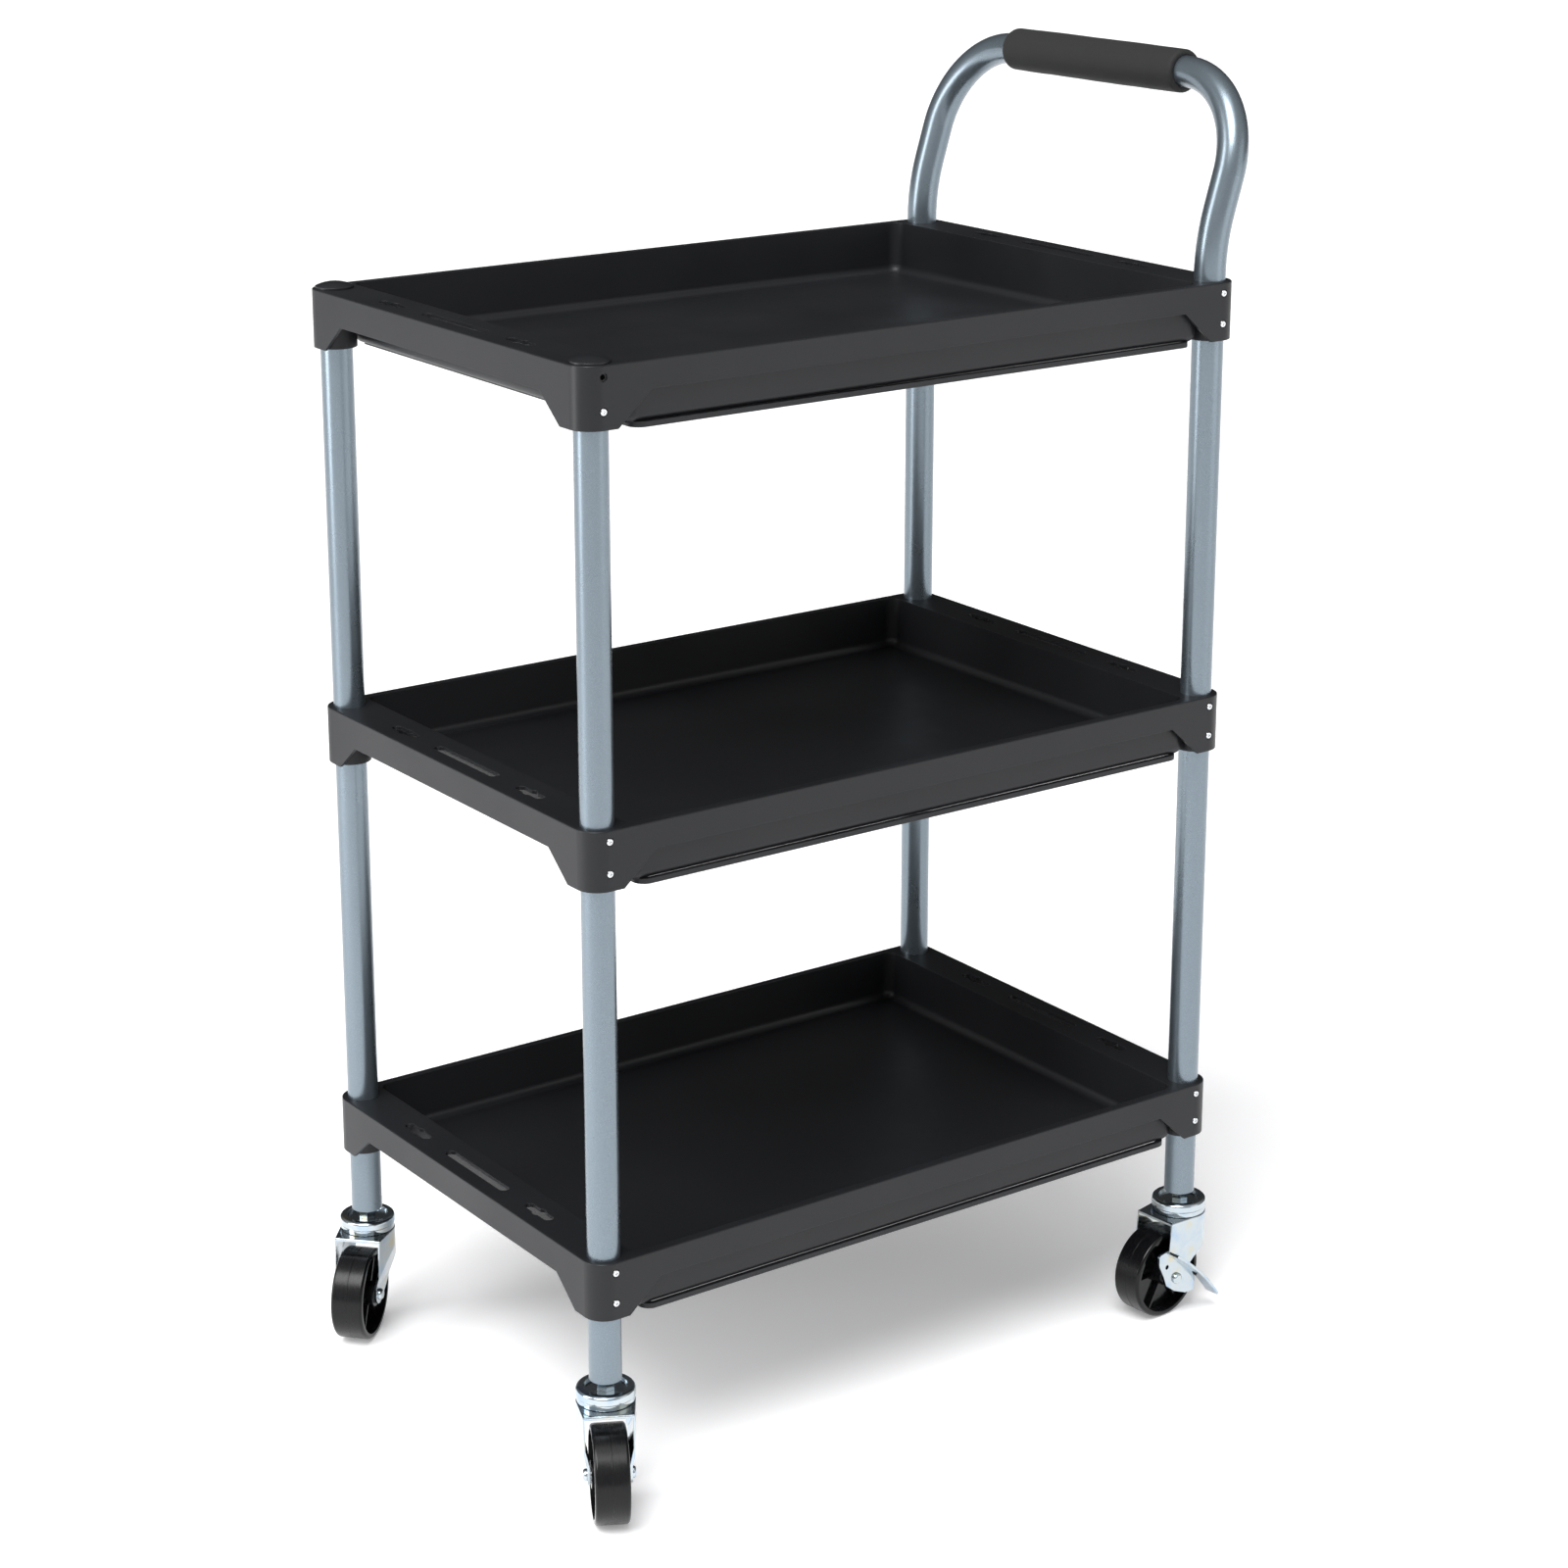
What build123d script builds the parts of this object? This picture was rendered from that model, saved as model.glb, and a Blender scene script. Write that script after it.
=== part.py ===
from build123d import *

import os
from math import asin, degrees

# A three-shelf tool cart: three moulded trays on tube posts, four swivel
# casters and a bent push handle. Millimetres, +Z up, floor at z = 0, the
# origin under the middle of the trays, the handle at the +X end.

os.makedirs("parts", exist_ok=True)

# ---------------------------------------------------------------- sizes ----
# Frame
post_spacing_x = 580.0      # between post axes, along the cart
post_spacing_y = 371.0      # between post axes, across the cart
shelf_pitch = 340.0         # one tray rim to the next
stub_clear = 54.8           # bare tube between the caster and the bottom tray
tube_diameter = 25.4
tube_wall = 1.2
tube_fit = 0.15             # gap all round a tube in its socket

# Tray
collar_skin = 1.05          # sleeve to the tray's outer face
collar_height = 46.3
skirt_wall = 2.5
plate = 3.0                 # thickness of the flat rim and ledges
side_skirt_height = 21.0
end_skirt_height = 24.5
side_gusset_top = 40.0      # post axis to where the side skirt starts to drop
side_gusset_foot = 12.0
end_gusset_top = 39.5
end_gusset_foot = 13.5
side_rim_width = 7.5
ledge_clear = 3.55          # sleeve to the basin
basin_depth = 43.5
basin_wall = 3.0
basin_floor = 2.5
basin_corner = 10.0
basin_floor_round = 7.0
basin_draft = 1.5           # degrees
edge_round = 1.0
foot_ring_height = 2.8
foot_ring_width = 4.0
foot_ring_inset_side = 4.0
foot_ring_end_gap = 8.0     # basin to the ring, along the cart
sleeve_wall = 3.6
web = 3.0                   # partition between the tubes that meet in a collar
post_screw_drop = 8.5       # rim to the upper screw
post_screw_pitch = 24.5

# Tool slots in the end ledges
long_slot_length = 90.0
long_slot_width = 8.5
short_slot_length = 35.0
short_slot_width = 8.0
short_slot_eye = 11.5
short_slot_offset = 93.5

# Screws
screw_diameter = 4.0
screw_head_diameter = 5.4
screw_head_height = 1.6
screw_recess_diameter = 6.6
screw_recess_depth = 1.2
screw_length = 9.0
screw_fit = 0.06
screw_cross_span = 2.7
screw_cross_width = 0.675
screw_cross_depth = 0.8

# Caps over the two sockets with no handle
cap_overhang = 2.3          # past the tube, all round
cap_lip = 1.6
cap_dome = 3.4
cap_plug_depth = 12.0
cap_plug_wall = 2.0

# Handle
handle_rise = 154.0         # tray rim to the top bar's axis
handle_reach = 39.0         # post axis to the top bar's axis
handle_bend_height = 30.0   # tray rim to the lower bend
handle_bend_radius = 165.0
handle_corner_radius = 76.0
grip_wall = 5.3
grip_end_gap = 3.0          # bare tube between the grip and the bend
grip_fit = 0.1
grip_round = 3.0

# Wheels
wheel_diameter = 76.0
wheel_width = 27.0
tread_round = 2.5
rim_thickness = 4.5
wheel_recess = 9.0
hub_diameter = 21.0
hub_gap = 0.5               # hub face to fork
rib_count = 6
rib_thickness = 1.6
rib_drop = 5.0              # rib face below the rim face
wheel_fit = 0.08

# Axles
axle_diameter = 6.0
axle_fit = 0.05
axle_head_diameter = 9.6
axle_head_height = 3.2
axle_head_round = 2.56
axle_sleeve_wall = 1.5

# Fork
caster_trail = 26.0
fork_sheet = 2.5
fork_axle_width = 34.4      # outside width at the axle
fork_nose_width = 37.5      # outside width at the front of the crown
fork_nose_reach = 29.0
fork_nose_flat = 2.0
fork_end_radius = 8.0
fork_bulge_height = 32.0    # axle to where the fork is as wide as the head
fork_front_angle = 8.0      # degrees, round the end from straight ahead
fork_rear_angle = 45.0      # degrees, round the end from straight behind
fork_rear_reach = 8.5       # swivel axis back to the hollow of the rear edge
fork_rear_rise = 15.0       # axle to the hollow of the rear edge
crown_clear = 8.5           # wheel to crown
neck_diameter = 38.0
neck_height = 0.5
fork_bend_round = 1.2

# Swivel head
head_diameter = 46.0
race_gap = 0.6              # between the turning race and the fixed one
race_undercut = 1.6
lower_race_height = 4.0
race_circle = 28.0          # pitch circle of the balls
ball_diameter = 5.0
ball_count = 12
ball_fit = 0.1
head_height = 6.5
head_dish_diameter = 34.0
head_dish_depth = 2.8
head_dish_slope = 1.0
stem_diameter = 8.0
stem_fit = 0.06
stem_head_diameter = 17.0
stem_head_height = 2.6
stem_length_in_tube = 34.0
nut_width = 13.0
nut_height = 6.5
neck_gap = 2.5              # nut to the end of the tube
socket_length = 38.0

# Brake lever, drawn about the axle with the wheel trailing along +X
lever_sheet = 2.2
lever_gap = 0.5             # fork to lever, at the fork's widest
lever_boss_diameter = 13.0
lever_rivet_hole = 4.0
lever_round = 2.5
lever_rivet_at = (12.0, 13.5)
lever_outline = [
    (21.5, 26.5), (10.5, 28.0), (-13.5, 11.0), (-23.5, -7.0), (-22.5, -18.5),
    (-12.0, -17.5), (2.0, -11.5), (12.0, -4.0), (15.8, 5.5), (21.5, 17.0),
]
pedal_width = 13.0
pedal_top = (10.0, 27.5)
pedal_middle = (-14.5, 8.0)
pedal_tip = (-43.0, -24.0)

# Where each wheel trails, in degrees round from +X
trail_angles = {"front_left": -118, "back_left": -137, "front_right": -174, "back_right": 114}

# ---------------------------------------------------------- worked out ----
tube_radius = tube_diameter / 2
half_x = post_spacing_x / 2
half_y = post_spacing_y / 2
sleeve_outer = tube_radius + tube_fit + sleeve_wall
collar_margin = sleeve_outer + collar_skin      # post axis to the tray's outer face
end_ledge_width = collar_margin + sleeve_outer + ledge_clear
tray_length = post_spacing_x + 2 * collar_margin
tray_width = post_spacing_y + 2 * collar_margin
basin_length = tray_length - 2 * end_ledge_width
basin_width = tray_width - 2 * side_rim_width
foot_ring_inset_end = end_ledge_width + foot_ring_end_gap
post_x_y = [(-half_x, -half_y), (-half_x, half_y), (half_x, -half_y), (half_x, half_y)]

wheel_radius = wheel_diameter / 2
axle_radius = axle_diameter / 2
crown_z = wheel_diameter + crown_clear
crown_top = crown_z + fork_sheet
race_z = crown_top + neck_height
race_top = race_z + lower_race_height
head_z = race_top + race_gap
head_top = head_z + head_height
dish_z = head_top - head_dish_depth
tube_end = dish_z + nut_height + neck_gap
bottom_rim = tube_end + stub_clear + collar_height
rims = {"bottom": bottom_rim, "middle": bottom_rim + shelf_pitch, "top": bottom_rim + 2 * shelf_pitch}

web_middle = post_screw_drop + post_screw_pitch / 2
seat_up = -web_middle + web / 2         # where a tube from above stands
seat_down = -web_middle - web / 2       # where a tube from below ends
post_length = shelf_pitch + seat_down - seat_up
stub_length = bottom_rim + seat_down - tube_end

fork_half = fork_axle_width / 2
head_radius = head_diameter / 2
lever_inner = head_radius - fork_sheet + lever_gap
lever_outer = lever_inner + lever_sheet


def save(name, piece, *places):
    """Write a piece, at each of its places, as one named node."""
    with BuildPart() as node:
        with Locations(*places):
            add(piece)
    node.part.label = name
    export_step(node.part, f"parts/{name}.step")


# ---------------------------------------------------------------- trays ----
with BuildPart() as basin_outside:
    with BuildSketch():
        RectangleRounded(basin_length + 2 * basin_wall, basin_width + 2 * basin_wall,
                         basin_corner + basin_wall)
    extrude(amount=-(basin_depth + basin_floor), taper=basin_draft)
    fillet(basin_outside.edges().group_by(Axis.Z)[0], basin_floor_round)

with BuildPart() as basin_inside:
    with BuildSketch():
        RectangleRounded(basin_length, basin_width, basin_corner)
    extrude(amount=-basin_depth, taper=basin_draft)
    fillet(basin_inside.edges().group_by(Axis.Z)[0], basin_floor_round)

with BuildPart() as tray:
    # Rim, ledges and skirt: a lid with its rim turned down
    with BuildSketch():
        RectangleRounded(tray_length, tray_width, collar_margin)
    extrude(amount=-collar_height)
    fillet(tray.edges().group_by(Axis.Z)[-1], edge_round)
    with BuildSketch(Plane.XY.offset(-collar_height)):
        RectangleRounded(tray_length - 2 * skirt_wall, tray_width - 2 * skirt_wall,
                         collar_margin - skirt_wall)
    extrude(amount=collar_height - plate, mode=Mode.SUBTRACT)
    # The skirt is cut shallow between the corners, with a sloping gusset at each end
    for plane, half_span, top, foot, height, reach in (
        (Plane.XZ, half_x, side_gusset_top, side_gusset_foot, side_skirt_height, tray_width),
        (Plane.YZ, half_y, end_gusset_top, end_gusset_foot, end_skirt_height, tray_length),
    ):
        with BuildSketch(plane):
            with BuildLine():
                Polyline(
                    (-half_span + foot, -collar_height - plate),
                    (-half_span + foot, -collar_height),
                    (-half_span + top, -height),
                    (half_span - top, -height),
                    (half_span - foot, -collar_height),
                    (half_span - foot, -collar_height - plate),
                    close=True,
                )
            make_face()
        extrude(amount=reach, both=True, mode=Mode.SUBTRACT)
    # Corner sleeves
    with Locations(*[(x, y, -collar_height) for x, y in post_x_y]):
        Cylinder(sleeve_outer, collar_height - edge_round,
                 align=(Align.CENTER, Align.CENTER, Align.MIN))
    # Basin with its low ring underneath
    add(basin_outside.part)
    with BuildSketch(Plane.XY.offset(-basin_depth - basin_floor / 2)):
        RectangleRounded(tray_length - 2 * foot_ring_inset_end, tray_width - 2 * foot_ring_inset_side,
                         basin_corner)
        offset(amount=-foot_ring_width, mode=Mode.SUBTRACT)
    extrude(amount=-foot_ring_height - basin_floor / 2)
    add(basin_inside.part, mode=Mode.SUBTRACT)
    # Tube sockets from above and from below, with a partition left between them
    with Locations(*post_x_y):
        Cylinder(tube_radius + tube_fit, -seat_up,
                 align=(Align.CENTER, Align.CENTER, Align.MAX), mode=Mode.SUBTRACT)
    with Locations(*[(x, y, -collar_height) for x, y in post_x_y]):
        Cylinder(tube_radius + tube_fit, collar_height + seat_down,
                 align=(Align.CENTER, Align.CENTER, Align.MIN), mode=Mode.SUBTRACT)
    # Tool slots
    with BuildSketch():
        with Locations((-half_x, 0), (half_x, 0)):
            SlotOverall(long_slot_length, long_slot_width, rotation=90)
        with GridLocations(post_spacing_x, 2 * short_slot_offset, 2, 2):
            SlotOverall(short_slot_length, short_slot_width, rotation=90)
            Circle(short_slot_eye / 2)
    extrude(amount=-2 * plate, mode=Mode.SUBTRACT)
    # Screw holes through the long sides
    for side in (-1, 1):
        face = Plane(origin=(0, side * tray_width / 2, 0), x_dir=(1, 0, 0), z_dir=(0, side, 0))
        holes = [face.to_local_coords(Vector(x, side * tray_width / 2, -drop))
                 for x in (-half_x, half_x)
                 for drop in (post_screw_drop, post_screw_drop + post_screw_pitch)]
        with BuildSketch(face):
            with Locations(*holes):
                Circle(screw_diameter / 2 + screw_fit)
        extrude(amount=-collar_margin, mode=Mode.SUBTRACT)
        with BuildSketch(face):
            with Locations(*holes):
                Circle(screw_recess_diameter / 2)
        extrude(amount=-screw_recess_depth, mode=Mode.SUBTRACT)

for level, rim in rims.items():
    save(f"{level}_tray", tray.part, Location((0, 0, rim)))

# ---------------------------------------------------------------- posts ----
def tube_with_screw_holes(length, hole_heights):
    """A straight tube on the origin, with screw holes facing -Y."""
    with BuildPart() as tube:
        with BuildSketch():
            Circle(tube_radius)
            Circle(tube_radius - tube_wall, mode=Mode.SUBTRACT)
        extrude(amount=length)
        with BuildSketch(Plane.XZ):
            with Locations(*[(0, height) for height in hole_heights]):
                Circle(screw_diameter / 2 + screw_fit)
        extrude(amount=tube_diameter, mode=Mode.SUBTRACT)
    return tube.part


upper_screw_up = -post_screw_drop - seat_up
lower_screw_down = seat_down + post_screw_drop + post_screw_pitch
post = tube_with_screw_holes(post_length, [upper_screw_up, post_length - lower_screw_down])
stub = tube_with_screw_holes(stub_length, [stub_length - lower_screw_down])

leg_names = ["front_left", "back_left", "front_right", "back_right"]
for leg, (x, y) in zip(leg_names, post_x_y):
    turn = (0, 0, 0 if y < 0 else 180)
    save(f"{leg}_stub_post", stub, Location((x, y, tube_end), turn))
    save(f"{leg}_lower_post", post, Location((x, y, rims["bottom"] + seat_up), turn))
    save(f"{leg}_upper_post", post, Location((x, y, rims["middle"] + seat_up), turn))

# --------------------------------------------------------------- screws ----
with BuildPart() as screw:
    with BuildSketch(Plane.XZ):
        Circle(screw_diameter / 2)
    extrude(amount=-screw_length)
    with BuildSketch(Plane.XZ):
        Circle(screw_head_diameter / 2)
    extrude(amount=screw_head_height)
    fillet(screw.edges().group_by(Axis.Y)[0], screw_head_height / 2)
    # Cross recess
    with BuildSketch(Plane.XZ.offset(screw_head_height)):
        Rectangle(screw_cross_span, screw_cross_width)
        Rectangle(screw_cross_width, screw_cross_span)
    extrude(amount=-screw_cross_depth, mode=Mode.SUBTRACT)

for level, rim in rims.items():
    places = []
    for x, y in post_x_y:
        side = -1 if y < 0 else 1
        head_y = side * (tray_width / 2 - screw_recess_depth)
        turn = (0, 0, 0 if side < 0 else 180)
        places.append(Location((x, head_y, rim - post_screw_drop - post_screw_pitch), turn))
        # A capped socket has no upper screw
        if level != "top" or x > 0:
            places.append(Location((x, head_y, rim - post_screw_drop), turn))
    save(f"{level}_tray_screws", screw.part, *places)

# ----------------------------------------------------------------- caps ----
cap_radius = tube_radius + cap_overhang
cap_dome_radius = (cap_radius ** 2 + cap_dome ** 2) / (2 * cap_dome)
cap_dome_angle = degrees(asin(cap_radius / cap_dome_radius))
with BuildPart() as cap:
    with BuildSketch(Plane.XZ):
        with BuildLine():
            dome = CenterArc((0, cap_lip + cap_dome - cap_dome_radius), cap_dome_radius,
                             90 - cap_dome_angle, cap_dome_angle)
            Polyline(
                dome @ 1, (0, 0), (tube_radius - cap_plug_wall, 0),
                (tube_radius - cap_plug_wall, -cap_plug_depth), (tube_radius, -cap_plug_depth),
                (tube_radius, 0), (cap_radius, 0), dome @ 0,
            )
        make_face()
    revolve(axis=Axis.Z)

for leg, (x, y) in zip(leg_names, post_x_y):
    if x < 0:
        save(f"{leg}_post_cap", cap.part, Location((x, y, rims["top"])))

# --------------------------------------------------------------- handle ----
handle_foot = rims["top"] + seat_up
handle_bar_x = half_x + handle_reach
handle_bar_z = rims["top"] + handle_rise
lower_bend_z = rims["top"] + handle_bend_height
with BuildPart() as handle_tube:
    with BuildLine() as handle_line:
        FilletPolyline(
            (half_x, -half_y, handle_foot),
            (half_x, -half_y, lower_bend_z),
            (handle_bar_x, -half_y, handle_bar_z),
            (handle_bar_x, half_y, handle_bar_z),
            (half_x, half_y, lower_bend_z),
            (half_x, half_y, handle_foot),
            radius=[handle_bend_radius, handle_corner_radius,
                    handle_corner_radius, handle_bend_radius],
        )
    with BuildSketch(Plane.XY.offset(handle_foot)):
        with Locations((half_x, -half_y)):
            Circle(tube_radius)
            Circle(tube_radius - tube_wall, mode=Mode.SUBTRACT)
    sweep(path=handle_line.line)
    with BuildSketch(Plane.XZ):
        with Locations((half_x, handle_foot + upper_screw_up)):
            Circle(screw_diameter / 2 + screw_fit)
    extrude(amount=half_y + tube_diameter, both=True, mode=Mode.SUBTRACT)
save("handle_tube", handle_tube.part, Location())

grip_length = post_spacing_y - 2 * (handle_corner_radius + grip_end_gap)
with BuildPart() as handle_grip:
    with BuildSketch(Plane.XZ):
        Circle(tube_radius + grip_wall)
    extrude(amount=grip_length / 2, both=True)
    fillet(handle_grip.edges(), grip_round)
    with BuildSketch(Plane.XZ):
        Circle(tube_radius + grip_fit)
    extrude(amount=grip_length, both=True, mode=Mode.SUBTRACT)
save("handle_grip", handle_grip.part, Location((handle_bar_x, 0, handle_bar_z)))

# --------------------------------------------------- caster, fixed parts ----
# Casters are drawn with the swivel axis on Z and the wheel trailing along +X.
head_ring_inner = head_dish_diameter / 2
ball_radius = ball_diameter / 2
ball_z = (race_top + head_z) / 2
race_radius = race_circle / 2
with BuildPart() as top_race:
    with BuildSketch(Plane.XZ):
        with BuildLine():
            Polyline(
                (stem_diameter / 2, head_z + race_undercut),
                (head_radius - fork_sheet, head_z + race_undercut),
                (head_radius - fork_sheet, head_z),
                (head_radius, head_z),
                (head_radius, head_top),
                (head_ring_inner, head_top),
                (head_ring_inner - head_dish_slope, dish_z),
                (stem_diameter / 2, dish_z),
                close=True,
            )
        make_face()
    revolve(axis=Axis.Z)
    fillet(top_race.edges().filter_by(GeomType.CIRCLE).group_by(Axis.Z)[-1].sort_by(SortBy.RADIUS)[-1],
           fork_sheet)
    with BuildSketch(Plane.XZ):
        with Locations((race_radius, ball_z)):
            Circle(ball_radius + ball_fit)
    revolve(axis=Axis.Z, mode=Mode.SUBTRACT)

with BuildPart() as ball:
    Sphere(ball_radius)
balls_at = PolarLocations(race_radius, ball_count).locations

stem_head_z = race_z - stem_head_height - ball_fit
with BuildPart() as stem:
    with BuildSketch(Plane.XY.offset(stem_head_z)):
        Circle(stem_head_diameter / 2)
    extrude(amount=stem_head_height)
    fillet(stem.edges().group_by(Axis.Z)[0], stem_head_height / 2)
    with BuildSketch(Plane.XY.offset(stem_head_z)):
        Circle(stem_diameter / 2)
    extrude(amount=tube_end + stem_length_in_tube - stem_head_z)

with BuildPart() as stem_nut:
    with BuildSketch(Plane.XY.offset(dish_z)):
        RegularPolygon(nut_width / 2, 6, major_radius=False)
        Circle(stem_diameter / 2 + stem_fit, mode=Mode.SUBTRACT)
    extrude(amount=nut_height)

with BuildPart() as stem_socket:
    with BuildSketch(Plane.XY.offset(tube_end)):
        Circle(tube_radius - tube_wall)
        Circle(stem_diameter / 2 + stem_fit, mode=Mode.SUBTRACT)
    extrude(amount=socket_length)

# ----------------------------------------------------------------- fork ----
def fork_outline(half, nose_half, nose_reach):
    """Fork seen from above: round behind the swivel, tapering to the nose."""
    with BuildSketch() as outline:
        Circle(half)
        with Locations((nose_reach - fork_nose_flat / 2, 0)):
            Rectangle(fork_nose_flat, 2 * nose_half)
        make_hull()
    return outline.sketch


def fork_front(half, axle_half):
    """Fork seen from the front: full width above, drawn in towards the axle."""
    with BuildSketch(Plane.YZ.offset(-head_diameter)) as front:
        with BuildLine():
            Polyline(
                (-half, crown_top), (-half, wheel_radius + fork_bulge_height),
                (-axle_half, wheel_radius + fork_end_radius), (-axle_half, 0),
                (axle_half, 0), (axle_half, wheel_radius + fork_end_radius),
                (half, wheel_radius + fork_bulge_height), (half, crown_top),
                close=True,
            )
        make_face()
    return front.sketch


axle_at = Vector(caster_trail, wheel_radius)
rear_tangent = axle_at + Vector(-fork_end_radius, 0).rotate(Axis.Z, fork_rear_angle)
front_tangent = axle_at + Vector(fork_end_radius, 0).rotate(Axis.Z, fork_front_angle)
with BuildPart() as fork_gap:
    add(fork_outline(head_radius - fork_sheet, fork_nose_width / 2 - fork_sheet, 2 * fork_nose_reach))
    extrude(amount=crown_z)
    add(fork_front(head_radius - fork_sheet, fork_half - fork_sheet))
    extrude(amount=4 * head_diameter, dir=(1, 0, 0), mode=Mode.INTERSECT)
    # Open behind the wheel
    with BuildSketch():
        with Locations((-head_radius, 0)):
            Rectangle(head_diameter, wheel_width + 2 * fork_sheet)
    extrude(amount=crown_z)

with BuildPart() as fork:
    add(fork_outline(head_radius, fork_nose_width / 2, fork_nose_reach + fork_end_radius))
    extrude(amount=crown_top)
    add(fork_front(head_radius, fork_half))
    extrude(amount=4 * head_diameter, dir=(1, 0, 0), mode=Mode.INTERSECT)
    # Side outline
    with BuildSketch(Plane.XZ.offset(-head_diameter)):
        with BuildLine():
            top = Polyline((fork_nose_reach, crown_top), (-head_radius, crown_top),
                           (-head_radius, crown_z - fork_sheet))
            rear = ThreePointArc(top @ 1, (-fork_rear_reach, wheel_radius + fork_rear_rise),
                                 rear_tangent)
            end = ThreePointArc(rear @ 1, axle_at + Vector(0, -fork_end_radius), front_tangent)
            Line(end @ 1, top @ 0)
        make_face()
    extrude(amount=2 * head_diameter, mode=Mode.INTERSECT)
    fillet(fork.edges().group_by(Axis.Z)[-1], fork_bend_round)
    add(fork_gap.part, mode=Mode.SUBTRACT)
    # Neck and ball race, pressed up out of the crown
    with BuildSketch(Plane.XZ):
        with BuildLine():
            Polyline(
                (0, crown_z), (neck_diameter / 2, crown_z), (neck_diameter / 2, race_z),
                (head_radius - race_gap, race_z), (head_radius - race_gap, race_top),
                (0, race_top), close=True,
            )
        make_face()
    revolve(axis=Axis.Z)
    with BuildSketch(Plane.XY.offset(crown_z - fork_sheet)):
        Circle(neck_diameter / 2 - fork_sheet)
    extrude(amount=race_z - crown_z + fork_sheet, mode=Mode.SUBTRACT)
    with BuildSketch(Plane.XY.offset(race_z - ball_fit)):
        Circle(stem_diameter / 2 + stem_fit)
    extrude(amount=race_top, mode=Mode.SUBTRACT)
    with BuildSketch(Plane.XZ):
        with Locations((race_radius, ball_z)):
            Circle(ball_radius + ball_fit)
    revolve(axis=Axis.Z, mode=Mode.SUBTRACT)
    # Axle holes
    with BuildSketch(Plane.XZ):
        with Locations(axle_at):
            Circle(axle_radius + axle_fit)
    extrude(amount=head_diameter, both=True, mode=Mode.SUBTRACT)

# ------------------------------------------------------ axle and sleeve ----
sleeve_radius = axle_radius + axle_fit + axle_sleeve_wall
sleeve_half = fork_half - fork_sheet
with BuildPart() as axle_sleeve:
    with BuildSketch(Plane.XZ):
        with Locations(axle_at):
            Circle(sleeve_radius)
            Circle(axle_radius + axle_fit, mode=Mode.SUBTRACT)
    extrude(amount=sleeve_half, both=True)


def riveted_axle(left_reach, right_reach):
    """Axle with a domed head at each end, its shoulders at the two reaches."""
    with BuildPart() as axle:
        for side, reach in ((1, left_reach), (-1, right_reach)):
            with BuildSketch(Plane.XZ):
                with Locations(axle_at):
                    Circle(axle_radius)
            extrude(amount=-side * reach)
            with BuildSketch(Plane.XZ.offset(-side * reach)):
                with Locations(axle_at):
                    Circle(axle_head_diameter / 2)
            extrude(amount=-side * axle_head_height)
        heads = axle.edges().filter_by(GeomType.CIRCLE).group_by(Axis.Y)
        fillet(heads[0] + heads[-1], axle_head_round)
    return axle.part


plain_axle = riveted_axle(fork_half, fork_half)
brake_axle = riveted_axle(lever_outer + axle_fit, fork_half)

# ---------------------------------------------------------------- wheel ----
bore_radius = sleeve_radius + wheel_fit
hub_radius = hub_diameter / 2
hub_half = sleeve_half - hub_gap
half_width = wheel_width / 2
recess_radius = wheel_radius - rim_thickness
with BuildPart() as wheel:
    with BuildSketch(Plane.XZ):
        with Locations(axle_at):
            Circle(wheel_radius)
    extrude(amount=half_width, both=True)
    fillet(wheel.edges().filter_by(GeomType.CIRCLE), tread_round)
    for side in (-1, 1):
        face = Plane.XZ.offset(side * half_width)
        with BuildSketch(face):
            with Locations(axle_at):
                Circle(recess_radius)
        extrude(amount=-side * wheel_recess, mode=Mode.SUBTRACT)
        # Ribs from the hub to the rim
        with BuildSketch(face.offset(-side * rib_drop)):
            with Locations(axle_at):
                with PolarLocations(recess_radius / 2, rib_count):
                    Rectangle(recess_radius, rib_thickness)
        extrude(amount=-side * (wheel_recess - rib_drop))
    with BuildSketch(Plane.XZ):
        with Locations(axle_at):
            Circle(hub_radius)
    extrude(amount=hub_half, both=True)
    with BuildSketch(Plane.XZ):
        with Locations(axle_at):
            Circle(bore_radius)
    extrude(amount=wheel_diameter, both=True, mode=Mode.SUBTRACT)

# ---------------------------------------------------------- brake lever ----
# The pedal trails back and down on the +Y side.
with BuildPart() as brake_lever:
    with BuildSketch(Plane.XZ.offset(-lever_inner)):
        with Locations(axle_at):
            Polygon(*lever_outline, align=None)
    extrude(amount=-lever_sheet)
    fillet(brake_lever.edges().filter_by(Axis.Y), lever_round)
    # Pedal, bent outwards along the upper edge and curling down behind
    with BuildSketch(Plane.XZ.offset(-lever_inner)):
        with BuildLine():
            bend = ThreePointArc(axle_at + Vector(*pedal_top), axle_at + Vector(*pedal_middle),
                                 axle_at + Vector(*pedal_tip))
            offset(bend, amount=lever_sheet, side=Side.LEFT)
        make_face()
    extrude(amount=-pedal_width)
    with BuildSketch(Plane.XZ.offset(-lever_inner)):
        with Locations(axle_at):
            Circle(lever_boss_diameter / 2)
    extrude(amount=lever_inner - fork_half - lever_gap)
    with BuildSketch(Plane.XZ):
        with Locations(axle_at):
            Circle(axle_radius + axle_fit)
        with Locations(axle_at + Vector(*lever_rivet_at)):
            Circle(lever_rivet_hole / 2)
    extrude(amount=-head_diameter, mode=Mode.SUBTRACT)

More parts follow.
